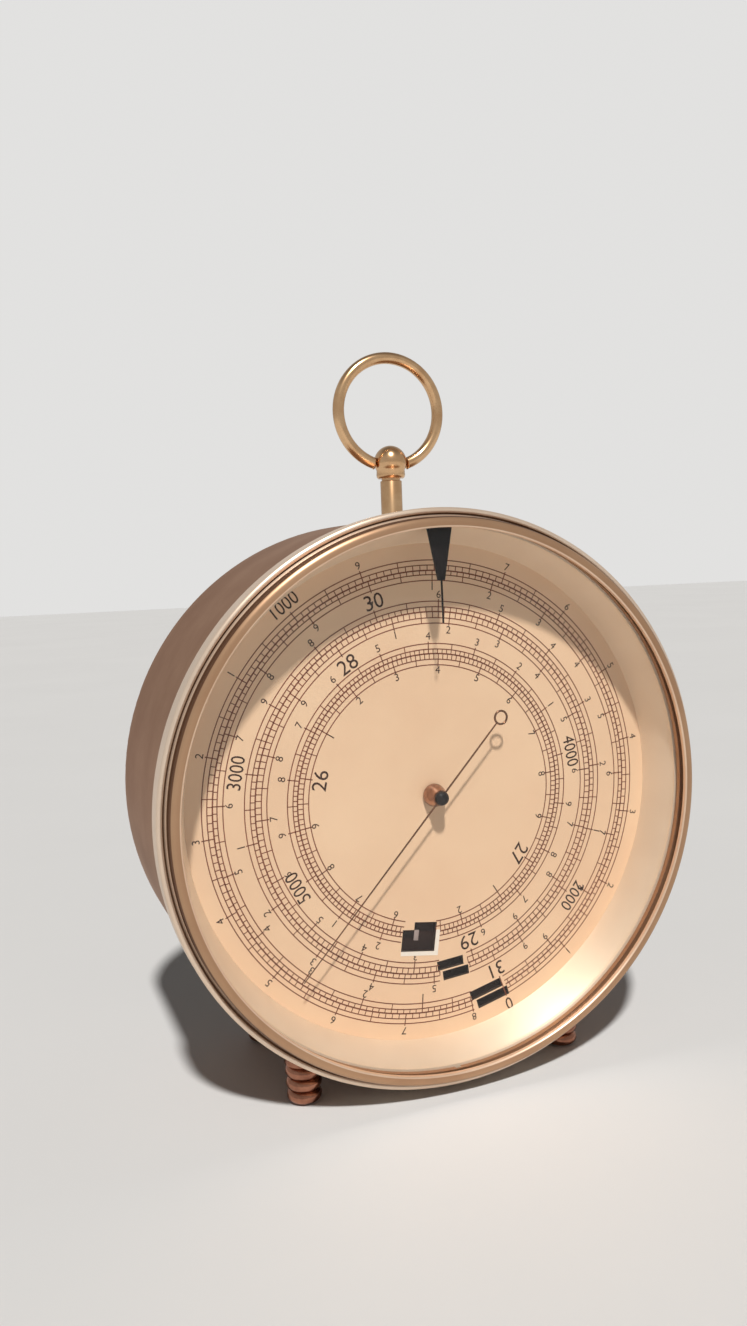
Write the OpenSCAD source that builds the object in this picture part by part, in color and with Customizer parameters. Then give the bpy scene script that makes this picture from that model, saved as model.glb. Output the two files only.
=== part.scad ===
// Marine barometer: a drum-cased aneroid on four turned feet, with a hanging ring,
// a turning bezel with an index, a three-circle dial and a geared movement.
// +Z is up, the dial faces -Y, and the origin is on the floor under the middle of the box.
// Pieces inside the case are drawn with the dial's face as their XY plane, +Z towards the reader.

/* [Dial] */
// Diameter of the dial that shows inside the flange
dial_view_d = 127; // [115:1:140]
// Thickness of the dial plate
dial_t = 1.0; // [0.8:0.1:1.6]
// Width of the dial's rim under the flange
dial_rim = 3.0; // [2.6:0.1:3.6]
// Radius of the inner scale circle
circle_1_r = 35.9; // [34.5:0.1:37]
// Radius of the middle scale circle
circle_2_r = 46.4; // [45.5:0.1:47.5]
// Radius of the outer scale circle
circle_3_r = 56.8; // [55.5:0.1:57.2]
// Width of the inner window
window_1_w = 9.3; // [8:0.1:9.6]
// Height of the inner window
window_1_h = 5.6; // [4.8:0.1:6]
// Distance of the inner window's outer edge beyond its circle
window_1_out = 4.7; // [4:0.1:5]
// Width of the notch that the inner window has towards the centre
notch_w = 6.2; // [4:0.1:7]
// Width of the middle window
window_2_w = 7.4; // [6:0.1:9]
// Width of the outer window
window_3_w = 9.4; // [7:0.1:9.8]
// Height of one slot of the middle and outer windows
window_slot_h = 2.5; // [1.8:0.1:2.6]
// Bar left between the two slots
window_bar = 0.4; // [0.3:0.1:0.8]
// Step by which the outer slot is set round the dial
window_step = 1.25; // [0.6:0.05:1.8]

/* [Case] */
// Sideways flare of the reflecting flange
flange_flare = 3.7; // [3:0.1:4.5]
// Thickness of the flange
flange_t = 0.8; // [0.6:0.1:1]
// Air between flange and barrel
flange_air = 0.9; // [0.6:0.1:1.4]
// Thickness of the barrel wall
barrel_wall = 1.5; // [1.2:0.1:2]
// Height of the barrel's front edge over the dial
barrel_front = 8.6; // [8:0.1:9.6]
// Depth of the case behind the dial
dial_to_back = 49.5; // [49:0.5:56]
// Thickness of the case back
back_t = 1.5; // [1.2:0.1:2]
// Radius of the case's back corner
back_round = 4; // [2:0.5:6]

/* [Bezel and glass] */
// Wall of the bezel round the barrel
bezel_wall = 1.35; // [1.2:0.05:1.8]
// Depth of the bezel's skirt over the barrel
bezel_skirt = 4.4; // [4:0.1:5]
// Thickness of the glass
glass_t = 2.5; // [2:0.1:3]
// Width of the bevel on the glass
glass_bevel = 4; // [2:0.5:6]
// Thickness of the bezel's lip over the glass
lip_t = 1.1; // [0.8:0.1:1.6]
// Width of the index wedge at the bezel
wedge_w = 6.6; // [4:0.2:8]
// Length of the index wedge
wedge_len = 12.9; // [10:0.1:14]
// Length of the fine line beyond the wedge
wedge_line = 10.3; // [6:0.1:14]
// Angle at which the index is set, clockwise from the top
index_angle = -0.7; // [-20:0.1:20]

/* [Pointer] */
// Length of the pointer from its centre to its tip
pointer_len = 55.7; // [50:0.1:58]
// Distance of the ring on the pointer's tail from the centre
tail_len = 25.6; // [20:0.1:30]
// Height of the pointer over the dial
pointer_h = 5.0; // [4:0.1:6]
// Angle of the pointer at rest, clockwise from the top
pointer_angle = 222.6; // [200:0.1:240]

/* [Hanging ring] */
// Distance of the hanger behind the dial's face
hanger_back = 20.4; // [18:0.1:30]
// Diameter of the hanger's stem
stem_d = 5.7; // [5:0.1:7]
// Length of the stem between barrel and head
stem_len = 10.9; // [8:0.1:14]
// Diameter of the hanger's head
head_d = 8.6; // [8:0.1:10]
// Height of the hanger's head
head_h = 8.6; // [8:0.1:10]
// Diameter of the ring to the middle of its wire
ring_d = 28.1; // [26:0.1:34]
// Diameter of the ring's wire
ring_wire = 3.0; // [2.6:0.1:3.4]

/* [Feet] */
// Distance from the middle to each foot
foot_x = 36.8; // [30:0.1:42]
// Distance of the front feet behind the dial's face
front_foot_back = 2.0; // [1.5:0.5:6]
// Distance of the rear feet behind the dial's face
rear_foot_back = 40; // [34:0.5:42]
// Height of the barrel over the floor
barrel_clear = 3.2; // [2.6:0.1:8]
// Radius of the feet's ball ends
foot_ball_r = 3.8; // [3.2:0.1:4]
// Radius of the turned beads on the feet
foot_bead_r = 1.1; // [0.8:0.1:1.2]

/* [Movement] */
// Distance from the centre arbor to the train arbor
arbor_gap = 21; // [20:0.5:22]
// Teeth of the centre pinion
centre_teeth = 14; // [12:1:16]
// Teeth of the train wheel
wheel_teeth = 56; // [48:1:60]
// Teeth of the train pinion
pinion_teeth = 10; // [10:1:12]
// Teeth of the indicator's rack, counted for a whole circle
rack_teeth = 96; // [90:1:102]
// Play between meshing teeth, along the pitch circle
backlash = 0.16; // [0.12:0.01:0.22]
// Radius of the arbors
arbor_r = 0.9; // [0.8:0.05:1.1]
// Thickness of the movement plates
plate_t = 1.5; // [1.2:0.1:1.8]
// Space between the two movement plates
plate_space = 7.5; // [7.2:0.1:8.5]
// Thickness of the indicator sector
sector_t = 1.0; // [0.8:0.1:1.2]
// Radius of the sector's tail pin
tail_r = 12; // [10:0.5:14]
// Thickness of the sector's link
link_t = 1.2; // [1:0.1:1.4]

/* [Capsule and levers] */
// Radius of the vacuum capsule
capsule_r = 27; // [24:0.5:28]
// Height of the vacuum capsule
capsule_h = 7; // [6:0.2:7.6]
// Thickness of the capsule's corrugated sheet
capsule_sheet = 0.3; // [0.25:0.05:0.5]
// Thickness of the base plate
base_t = 2.5; // [2:0.1:3]
// Height of the spring block over the base plate
block_h = 17.5; // [16.5:0.1:18]
// Distance of the spring's root from the centre
spring_root = 34; // [32:0.5:36]
// Thickness of the main spring
spring_t = 1.4; // [1:0.1:1.8]
// Distance of the rock shaft from the centre
rock_x = 36; // [34:0.5:38]
// Height of the rock shaft over the base plate
rock_h = 14; // [13:0.5:15]
// Length of the rock shaft's crank
crank_len = 7; // [6:0.5:8]

/* [Hidden] */

$fn = 96;

// Clearances: a seat between pieces that don't move, a running fit, and a gap between moving pieces
seat = 0.02;
running = 0.05;
gap = 0.3;

// Radii of the case, from the dial outwards
dial_view_r = dial_view_d / 2;
flange_top_r = dial_view_r + flange_flare;
barrel_in_r = flange_top_r + flange_t + flange_air;
barrel_r = barrel_in_r + barrel_wall;
bezel_in_r = barrel_r + 0.1;
bezel_r = barrel_r + bezel_wall;
sight_r = flange_top_r - 0.4;
glass_r = sight_r + 2.2;
dial_r = dial_view_r + dial_rim;

// Heights over the dial's face
flange_lip_t = 0.5;
flange_top = barrel_front + flange_lip_t;
shoulder_z = flange_top + gap;
glass_z = shoulder_z + 1.6;
lip_z = glass_z + glass_t;
lip_top = lip_z + lip_t;
skirt_z = shoulder_z - bezel_skirt;
bead_z = skirt_z + 1.8;

// Levels under the dial, from the dial to the back
sector_top = -dial_t - 1.2;
sector_z = sector_top - sector_t;
link_z = sector_z - 0.4 - link_t;
upper_top = link_z - 0.7;
upper_z = upper_top - plate_t;
lower_top = upper_z - plate_space;
lower_z = lower_top - plate_t;
pad_h = 1.0;
back_in = -dial_to_back + back_t;
base_z = back_in + pad_h;
base_top = base_z + base_t;
capsule_z = base_top + 3;
capsule_top = capsule_z + capsule_h;
spring_z = base_top + block_h;
spring_top = spring_z + spring_t;
rock_z = base_top + rock_h;

// Place of the case in the part's frame
axis_z = barrel_r + barrel_clear;
screw_head_h = 1.2;
dial_y = (lip_top - dial_to_back - screw_head_h) / 2;

// Angles on the dial, clockwise from the top
window_r = [circle_1_r, circle_2_r, circle_3_r];
window_angle = [188.0, 174.8, 165.2];
window_w = [window_1_w, window_2_w, window_3_w];
mark_angle = window_angle[0];
sector_travel = [-26.8, 1.0];
sector_mid = mark_angle + (sector_travel[0] + sector_travel[1]) / 2;
train_angle = sector_mid;
tail_angle = mark_angle - sector_mid;
wheel_at = [arbor_gap * sin(train_angle), arbor_gap * cos(train_angle)];

// Toothed pieces
gear_module = 2 * arbor_gap / (centre_teeth + wheel_teeth);
rack_module = 2 * arbor_gap / (rack_teeth - pinion_teeth);
wheel_t = 1.2;
wheel_z = lower_top + 3.3;
pressure_angle = 20;
addendum = 0.8;
dedendum = 1.1;

// Linkage: the rock shaft at rest stands turned by this angle from its middle place
link_mid_z = link_z + link_t / 2;
arm_len = link_mid_z - rock_z;
rock_rest = atan(tail_r * sin(tail_angle) / arm_len);
arm_y = tail_r * (1 + cos(tail_angle)) / 2;
tail_at = [tail_r * sin(tail_angle), tail_r * cos(tail_angle)];
arm_tip_x = rock_x + arm_len * sin(rock_rest);
crank_at = [rock_x - crank_len * cos(rock_rest), rock_z + crank_len * sin(rock_rest)];

// Places of the pillars, brackets and screws
movement_pillar_at = [[-34, -20], [24, -36], [-28, 28]];
movement_pillar_r = 2.5;
dial_pillar_at = [45, 135, 225, 315];
dial_pillar_ring = dial_view_r + 1.7;
dial_screw_head = 0.6;
dial_screw_len = 6;
dial_pillar_r = 2.0;
case_screw_at = [90, 210, 330];
case_screw_ring = 52;
case_screw_head_r = 2.8;
block_x = [-spring_root - 12, -spring_root];
block_mid = -spring_root - 6;
block_w = 20;
block_screw_y = [3 - block_w / 2, block_w / 2 - 3];
block_bore_depth = 4;
bracket_y = [-9, 17];
bracket_t = 3;
bracket_foot_t = 1.5;
bracket_screw_x = rock_x + 7;
screw_r = 1.4;

// Hanging ring
head_z = barrel_r + stem_len;
ring_axis = head_z + head_h / 2 - 0.4;
ring_centre = ring_axis + sqrt(ring_d * ring_d - head_d * head_d) / 2;
ring_pin_r = 1.1;
hanger_spigot_r = 2.5;
foot_top_r = 4.7;

// A point on the dial, by its radius and its angle clockwise from the top
function clock(r, a) = [r * sin(a), r * cos(a)];

// The case's frame: the dial's face, with +Z towards the reader
module on_case() {
  translate([0, dial_y, axis_z]) rotate([90, 0, 0]) children();
}

module at_clock(r, a) {
  translate([r * sin(a), r * cos(a), 0]) rotate([0, 0, -a]) children();
}

module disc(r, z0, z1) {
  translate([0, 0, z0]) cylinder(r = r, h = z1 - z0);
}

module ring_disc(r_in, r_out, z0, z1) {
  difference() {
    disc(r_out, z0, z1);
    disc(r_in, z0 - 1, z1 + 1);
  }
}

// Part of a ring between two clock angles
module ring_part(r_in, r_out, z0, z1, a0, a1) {
  translate([0, 0, z0]) rotate([0, 0, 90 - a1]) rotate_extrude(angle = a1 - a0)
    translate([r_in, 0]) square([r_out - r_in, z1 - z0]);
}

// A straight bar with round ends between two points
module bar(p, q, w) {
  d = q - p;
  translate(p) rotate([0, 0, atan2(d[1], d[0])]) translate([0, -w / 2]) square([norm(d), w]);
  translate(p) circle(d = w);
  translate(q) circle(d = w);
}

module slotted_screw(head_r, head_h, shank_r, shank_len) {
  difference() {
    cylinder(r = head_r, h = head_h);
    translate([-head_r - 1, -head_r * 0.12, head_h * 0.5]) cube([2 * head_r + 2, head_r * 0.24, head_h]);
  }
  translate([0, 0, -shank_len]) cylinder(r = shank_r, h = shank_len + 0.1);
}

// Involute teeth. half_angle is half a tooth's angle at radius r
function inv(a) = tan(a) * 180 / PI - a;
function half_angle(r, pitch_r, teeth, play) =
  90 / teeth - play / 2 / pitch_r * 180 / PI + inv(pressure_angle)
  - inv(acos(min(1, pitch_r * cos(pressure_angle) / max(r, pitch_r * cos(pressure_angle)))));
function flank_radii(pitch_r, m, tip, root) =
  [pitch_r - root * m, max(pitch_r - root * m / 2, pitch_r * cos(pressure_angle)),
   pitch_r + tip * m / 3, pitch_r + tip * m];
function tooth(pitch_r, m, teeth, play, tip, root, a) =
  let (radii = flank_radii(pitch_r, m, tip, root))
  concat(
    [for (r = radii) let (b = a - half_angle(r, pitch_r, teeth, play)) [r * cos(b), r * sin(b)]],
    [for (i = [len(radii) - 1:-1:0])
      let (r = radii[i], b = a + half_angle(r, pitch_r, teeth, play)) [r * cos(b), r * sin(b)]]);
function gear_outline(m, teeth, play) =
  [for (i = [0:teeth - 1]) each tooth(m * teeth / 2, m, teeth, play, addendum, dedendum, i * 360 / teeth)];

module gear(m, teeth, play, phase, t) {
  linear_extrude(t) rotate([0, 0, phase]) polygon(gear_outline(m, teeth, play));
}

// Case

module case_barrel() {
  color("#6e5f4c") difference() {
    on_case() difference() {
      union() {
        rotate_extrude() difference() {
          translate([0, -dial_to_back]) square([barrel_r, dial_to_back + barrel_front]);
          translate([barrel_r - back_round, -dial_to_back + back_round]) difference() {
            translate([0, -back_round - 1]) square([back_round + 1, back_round + 1]);
            circle(r = back_round);
          }
        }
        rotate_extrude() translate([barrel_r - 0.3, bead_z]) circle(r = 0.65, $fn = 24);
      }
      rotate_extrude() difference() {
        translate([0, back_in]) square([barrel_in_r, dial_to_back + barrel_front]);
        translate([barrel_in_r - back_round, back_in + back_round]) difference() {
          translate([0, -back_round - 1]) square([back_round + 1, back_round + 1]);
          circle(r = back_round);
        }
      }
      for (a = case_screw_at)
        translate(clock(case_screw_ring, a)) disc(screw_r + 0.1, -dial_to_back - 1, back_in + 1);
      translate([block_mid, 0, 0]) disc(3.4, -dial_to_back - 1, back_in + 1);
    }
    translate([0, dial_y + hanger_back, axis_z + barrel_in_r - 2]) cylinder(r = hanger_spigot_r + 0.1, h = 10);
    for (x = [-foot_x, foot_x], back = [front_foot_back, rear_foot_back])
      translate([x, dial_y + back, 0]) cylinder(r = screw_r + 0.1, h = axis_z - 20);
  }
}

module reflector_flange() {
  color("#c9b8a4") on_case() rotate_extrude() polygon([
    [dial_view_r, 0],
    [flange_top_r, barrel_front],
    [flange_top_r, flange_top],
    [barrel_r - 0.3, flange_top],
    [barrel_r - 0.3, barrel_front],
    [flange_top_r + flange_t, barrel_front],
    [flange_top_r + flange_t, barrel_front - 0.6],
    [dial_view_r + flange_t, 0]]);
}

// A window's opening. Local +Y points outwards, and +X clockwise round the dial
module window_cut(i) {
  w = window_w[i];
  notch_h = 2;
  at_clock(0, window_angle[i]) translate([-w / 2, window_r[i], -dial_t - 1])
    if (i == 0) {
      translate([0, window_1_out - window_1_h, 0]) cube([w, window_1_h, dial_t + 2]);
      translate([0, window_1_out - window_1_h - notch_h, 0]) cube([notch_w, notch_h + 0.1, dial_t + 2]);
    } else {
      translate([-window_step / 2, window_bar / 2, 0]) cube([w, window_slot_h, dial_t + 2]);
      translate([window_step / 2, -window_bar / 2 - window_slot_h, 0]) cube([w, window_slot_h, dial_t + 2]);
    }
}

module dial_plate() {
  color("#e6d3b0") on_case() difference() {
    disc(dial_r, -dial_t, 0);
    disc(2.6, -dial_t - 1, 1);
    for (i = [0:2]) window_cut(i);
    for (a = dial_pillar_at) translate(clock(dial_pillar_ring, a)) {
      disc(screw_r - 0.4 + seat, -dial_t - 1, 1);
      translate([0, 0, -dial_screw_head]) cylinder(r = 1.7 + seat, h = 1);
    }
  }
}

module dial_pillars() {
  color("#b08a4e") on_case() for (a = dial_pillar_at) translate(clock(dial_pillar_ring, a)) difference() {
    union() {
      disc(dial_pillar_r, base_top, -dial_t);
      disc(dial_pillar_r + 0.5, base_top, base_top + 3);
    }
    disc(screw_r - 0.4 + seat, -dial_t - dial_screw_len - 1, -dial_t + 1);
  }
}

module dial_screws() {
  color("#8a7038") on_case() for (a = dial_pillar_at) translate(clock(dial_pillar_ring, a))
    translate([0, 0, -dial_screw_head]) slotted_screw(1.7, dial_screw_head, screw_r - 0.4, dial_screw_len);
}

module base_plate() {
  color("#9a7b45") on_case() difference() {
    union() {
      disc(barrel_in_r - 1.4, base_z, base_top);
      for (a = case_screw_at) translate(clock(case_screw_ring, a)) disc(5, back_in, base_z + 0.1);
    }
    translate([0, 0, base_z - 1]) rotate_extrude() translate([barrel_in_r - 1.4, 0])
      circle(r = back_round - 1, $fn = 32);
    for (a = case_screw_at)
      translate(clock(case_screw_ring, a)) disc(screw_r + seat, back_in - 1, base_top + 1);
    translate([block_mid, 0, 0]) {
      disc(1.6 + running, base_z - 1, base_top + 1);
      disc(3.4, base_z - 1, base_z + 1);
    }
    for (y = block_screw_y) translate([block_mid, y, 0]) {
      disc(screw_r + seat, base_z - 1, base_top + 1);
      disc(2.3 + seat, base_z - 1, base_z + screw_head_h);
    }
    disc(2.5 + seat, base_z - 1, base_top + 1);
    for (y = bracket_y) translate([bracket_screw_x, y, 0]) disc(screw_r + seat, base_z - 1, base_top + 1);
  }
}

module case_screws() {
  color("#a8843f") on_case() for (a = case_screw_at) translate(clock(case_screw_ring, a))
    translate([0, 0, -dial_to_back]) rotate([180, 0, 0])
      slotted_screw(case_screw_head_r, screw_head_h, screw_r, back_t + pad_h + base_t - 0.3);
}

// Capsule, main spring and their carriers

// Height of a diaphragm over the capsule's middle, at radius r
capsule_boss_r = 6;
capsule_rim = 0.6;
waves = 4;
function wave_z(r) =
  let (t = (r - capsule_boss_r) / (capsule_r - 1.5 - capsule_boss_r))
  capsule_h / 2 - capsule_sheet - t * (capsule_h / 2 - capsule_sheet - capsule_rim / 2)
  - 0.45 * sin(t * waves * 360);
wave_steps = 32;
wave_radii = [for (i = [0:wave_steps]) capsule_boss_r + i * (capsule_r - 1.5 - capsule_boss_r) / wave_steps];

module capsule() {
  half = concat(
    [[0, capsule_h / 2], [capsule_boss_r, capsule_h / 2]],
    [for (r = wave_radii) if (r > capsule_boss_r) [r, wave_z(r) + capsule_sheet]],
    [[capsule_r, capsule_rim / 2 + capsule_sheet], [capsule_r, 0], [capsule_r - 1.5, 0]],
    [for (i = [wave_steps:-1:1]) [wave_radii[i], wave_z(wave_radii[i])]],
    [[capsule_boss_r, capsule_h / 2 - capsule_sheet], [0, capsule_h / 2 - capsule_sheet]]);
  color("#8d9093") on_case() translate([0, 0, capsule_z + capsule_h / 2]) {
    rotate_extrude() polygon(half);
    mirror([0, 0, 1]) rotate_extrude() polygon(half);
  }
}

module capsule_stud() {
  color("#b08a4e") on_case() {
    disc(5, base_top, capsule_z);
    disc(2.5, base_z + 0.3, base_top + 0.1);
  }
}

module spring_block() {
  color("#a07c42") on_case() difference() {
    translate([block_x[0], -block_w / 2, base_top]) cube([block_x[1] - block_x[0], block_w, block_h]);
    translate([block_mid, 0, 0]) disc(2.2, base_top - 1, base_top + block_bore_depth);
    for (y = block_screw_y) translate([block_mid, y, 0]) {
      disc(screw_r + seat, base_top - 1, base_top + 6);
      disc(screw_r + seat, spring_z - 6, spring_z + 1);
    }
    translate([block_x[0] - 1, -block_w / 4, base_top + 6]) cube([block_x[1] - block_x[0] + 2, block_w / 2, 5]);
  }
}

module block_screws() {
  color("#6f6a5e") on_case() for (y = block_screw_y) translate([block_mid, y, base_z + screw_head_h])
    rotate([180, 0, 0]) slotted_screw(2.3, screw_head_h, screw_r, base_t - screw_head_h + 5);
}

module main_spring() {
  root_w = block_w - 1;
  tip_w = 13;
  tip_x = 10;
  color("#4c5660") on_case() difference() {
    translate([0, 0, spring_z]) linear_extrude(spring_t) polygon([
      [block_x[0], -root_w / 2], [block_x[1], -root_w / 2], [tip_x, -tip_w / 2],
      [tip_x, tip_w / 2], [block_x[1], root_w / 2], [block_x[0], root_w / 2]]);
    disc(2.0 + gap, spring_z - 1, spring_top + 1);
    for (y = block_screw_y) translate([block_mid, y, 0]) disc(screw_r + seat, spring_z - 1, spring_top + 1);
  }
}

clamp_t = 1.6;

module spring_clamp() {
  color("#a07c42") on_case() difference() {
    translate([block_x[0], -block_w / 2, spring_top]) cube([block_x[1] - block_x[0], block_w, clamp_t]);
    for (y = block_screw_y) translate([block_mid, y, 0])
      disc(screw_r + seat, spring_top - 1, spring_top + clamp_t + 1);
  }
}

module spring_screws() {
  color("#6f6a5e") on_case() for (y = block_screw_y) translate([block_mid, y, spring_top + clamp_t])
    slotted_screw(2.6, 1.5, screw_r, clamp_t + spring_t + 5);
}

// Rock shaft and its brackets

pivot_r = 0.95;
shaft_r = 1.5;

module bracket_screw_hole(y) {
  translate([bracket_screw_x, y, 0]) disc(screw_r + seat, base_top - 1, base_top + bracket_foot_t + 1.5);
}

module rock_brackets() {
  color("#a07c42") on_case() for (y = bracket_y) difference() {
    union() {
      translate([rock_x - 3.5, y - bracket_t / 2, base_top]) cube([7, bracket_t, rock_h]);
      translate([rock_x, y + bracket_t / 2, rock_z]) rotate([90, 0, 0]) cylinder(r = 3.5, h = bracket_t);
      translate([rock_x - 3.5, y - 3, base_top]) cube([14, 6, bracket_foot_t]);
    }
    translate([rock_x, y + bracket_t, rock_z]) rotate([90, 0, 0])
      cylinder(r = pivot_r + running, h = 2 * bracket_t);
    bracket_screw_hole(y);
  }
}

module bracket_screws() {
  color("#6f6a5e") on_case() for (y = bracket_y) translate([bracket_screw_x, y, base_top + bracket_foot_t])
    slotted_screw(2.4, 1.2, screw_r, bracket_foot_t + base_t - 0.3);
}

module rock_shaft() {
  y0 = bracket_y[0];
  y1 = bracket_y[1];
  color("#5a646e") on_case() translate([rock_x, 0, rock_z]) rotate([-90, 0, 0]) {
    translate([0, 0, y0 + bracket_t / 2 + gap]) cylinder(r = shaft_r, h = y1 - y0 - bracket_t - 2 * gap);
    translate([0, 0, y0 - bracket_t / 2]) cylinder(r = pivot_r, h = y1 - y0 + bracket_t);
  }
}

// Turns a piece of the rock shaft from its middle place to its rest place
module rocked() {
  on_case() translate([rock_x, 0, rock_z]) rotate([0, rock_rest, 0]) children();
}

arm_pin_r = 0.6;
arm_hub_t = 3;

module rock_arm() {
  color("#b08a4e") rocked() difference() {
    union() {
      translate([0, arm_y + arm_hub_t / 2, 0]) rotate([90, 0, 0]) cylinder(r = 3, h = arm_hub_t);
      translate([-1, arm_y - 0.75, 0]) cube([2, 1.5, arm_len - link_t / 2 - 0.6]);
      translate([0, arm_y, arm_len - link_t / 2 - 0.7]) cylinder(r = arm_pin_r, h = link_t + 0.9);
    }
    translate([0, arm_y + 4, 0]) rotate([90, 0, 0]) cylinder(r = shaft_r + seat, h = 8);
  }
}

module rock_crank() {
  color("#b08a4e") rocked() difference() {
    union() {
      translate([0, 4.2, 0]) rotate([90, 0, 0]) cylinder(r = 3, h = 2.4);
      translate([-crank_len, 1.8, -1.2]) cube([crank_len, 2.4, 2.4]);
      translate([-crank_len, 4.2, 0]) rotate([90, 0, 0]) cylinder(r = 1.2, h = 2.4);
      translate([-crank_len, 2, 0]) rotate([90, 0, 0]) cylinder(r = arm_pin_r, h = 3.6);
    }
    translate([0, 6, 0]) rotate([90, 0, 0]) cylinder(r = shaft_r + seat, h = 8);
  }
}

// Main lever, its post and its link

lever_t = 2;
lever_w = 4;
lever_foot_x = [4, 10];
lever_z = spring_top + 3;
lever_end = crank_at[0] + 2.5;

module main_lever() {
  color("#b08a4e") on_case() difference() {
    union() {
      translate([lever_foot_x[0], -5, spring_top]) cube([lever_foot_x[1] - lever_foot_x[0], 10, 1.2]);
      translate([lever_foot_x[1] - 2, -lever_w / 2, spring_top]) cube([2, lever_w, lever_z - spring_top]);
      translate([lever_foot_x[1] - 2, -lever_w / 2, lever_z])
        cube([lever_end - lever_foot_x[1] + 2, lever_w, lever_t]);
    }
    translate([crank_at[0], 0, 0]) disc(0.7 + seat, lever_z - 1, lever_z + lever_t + 1);
  }
}

module compensation_strip() {
  strip_t = 0.8;
  color("#7d8890") on_case() translate([lever_foot_x[1], -lever_w / 2, lever_z + lever_t])
    cube([lever_end - lever_foot_x[1] - 5, lever_w, strip_t]);
}

module capsule_post() {
  color("#b08a4e") on_case() difference() {
    union() {
      disc(4.5, capsule_top, capsule_top + 1.2);
      disc(2.0, capsule_top, spring_top + 4);
    }
    translate([-0.7, -3, spring_top - 0.05]) cube([1.4, 6, 2.65]);
  }
}

// The knife edge lies across the spring through the post's slot
module knife_edge() {
  color("#5a646e") on_case() translate([0, 5, spring_top]) rotate([90, 0, 0]) linear_extrude(10)
    polygon([[0, 0], [0.65, 0.9], [0.65, 2.5], [-0.65, 2.5], [-0.65, 0.9]]);
}

module lever_link() {
  eye_z = crank_at[1];
  eye_r = 2.0;
  color("#8d9093") on_case() translate([crank_at[0], 0, 0]) {
    disc(0.7, eye_z + eye_r - 0.4, lever_z + lever_t + 0.8);
    translate([0, 0.6, eye_z]) rotate([90, 0, 0]) difference() {
      cylinder(r = eye_r, h = 1.2);
      translate([0, 0, -1]) cylinder(r = arm_pin_r + 0.5, h = 4);
    }
    disc(1.3, lever_z + lever_t, lever_z + lever_t + 0.8);
  }
}

// Movement plates

module plate_outline() {
  for (p = movement_pillar_at) {
    bar([0, 0], p, 7);
    translate(p) circle(r = 5);
  }
  bar([0, 0], wheel_at, 7);
  circle(r = 10);
  translate(wheel_at) circle(r = 4.5);
}

module plate_at(z) {
  translate([0, 0, z]) difference() {
    linear_extrude(plate_t) plate_outline();
    for (p = movement_pillar_at) translate([p[0], p[1], -1]) cylinder(r = screw_r + seat, h = plate_t + 2);
    translate([wheel_at[0], wheel_at[1], -1]) cylinder(r = arbor_r + running, h = plate_t + 2);
    children();
  }
}

module lower_movement_plate() {
  color("#c19a55") on_case() plate_at(lower_z)
    translate([0, 0, -1]) cylinder(r = arbor_r + running, h = plate_t + 2);
}

pipe_r = 2.2;

module upper_movement_plate() {
  color("#c19a55") on_case() plate_at(upper_z)
    translate([0, 0, -1]) cylinder(r = pipe_r + seat, h = plate_t + 2);
}

module movement_pillars() {
  color("#b08a4e") on_case() for (p = movement_pillar_at) translate([p[0], p[1], 0]) {
    difference() {
      union() {
        disc(movement_pillar_r, base_top, lower_z);
        disc(movement_pillar_r + 0.8, base_top, base_top + 3);
      }
      disc(screw_r + seat, lower_z - 6, lower_z + 1);
    }
    ring_disc(screw_r + seat, movement_pillar_r, lower_top, upper_z);
  }
}

module movement_screws() {
  color("#3f4c5e") on_case() for (p = movement_pillar_at) translate([p[0], p[1], upper_top])
    slotted_screw(2.6, 1.0, screw_r, upper_top - lower_z + 5);
}

module centre_pipe() {
  color("#c19a55") on_case() {
    ring_disc(arbor_r + running, pipe_r, upper_z, -dial_t - 0.6);
    ring_disc(pipe_r - 0.1, pipe_r + 1.2, upper_top, upper_top + 0.3);
  }
}

module sector_clip() {
  color("#5a646e") on_case() difference() {
    ring_disc(pipe_r + seat, pipe_r + 1, sector_top + 0.1, sector_top + 0.5);
    translate([0, -0.5, sector_top]) cube([6, 1, 2]);
  }
}

// Hairspring: a flat strip on a spiral, from the collet to the stud
collet_r = 2.0;
hair_turns = 7;
hair_pitch = 0.8;
hair_t = 0.15;
hair_w = 0.8;
hair_z = upper_z - 1.8;
hair_steps = 24;
function hair_r(i) = collet_r + seat + hair_pitch * i / hair_steps;
hair_end_r = hair_r(hair_turns * hair_steps);

module hairspring() {
  n = hair_turns * hair_steps;
  inner = [for (i = [0:n]) let (a = i * 360 / hair_steps) hair_r(i) * [cos(a), sin(a)]];
  outer = [for (i = [n:-1:0]) let (a = i * 360 / hair_steps) (hair_r(i) + hair_t) * [cos(a), sin(a)]];
  color("#33435c") on_case() translate([0, 0, hair_z]) linear_extrude(hair_w) polygon(concat(inner, outer));
}

module hairspring_stud() {
  color("#b08a4e") on_case() translate([hair_end_r + hair_t + seat, -0.9, hair_z])
    cube([1.6, 1.8, upper_z - hair_z]);
}

// Centre arbor and pointer

module centre_arbor() {
  color("#5a646e") on_case() disc(arbor_r, lower_z, pointer_h + 1.2);
}

module centre_pinion() {
  color("#c19a55") on_case() difference() {
    translate([0, 0, wheel_z - 0.4]) rotate([0, 0, 90 - train_angle])
      gear(gear_module, centre_teeth, backlash, 180 / centre_teeth, wheel_t + 0.8);
    disc(arbor_r + seat, wheel_z - 2, wheel_z + 4);
  }
}

module hairspring_collet() {
  color("#c19a55") on_case() ring_disc(arbor_r + seat, collet_r, hair_z - 0.1, hair_z + hair_w + 0.1);
}

module pointer_collet() {
  color("#b8925a") on_case() difference() {
    rotate_extrude() polygon([
      [0, 0.4], [2.9, 0.4], [2.95, 1.2], [2.8, 2.2], [2.5, 3.2], [2.1, 4.1], [1.8, pointer_h], [0, pointer_h]]);
    disc(arbor_r + seat, -1, pointer_h + 1);
  }
}

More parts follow.
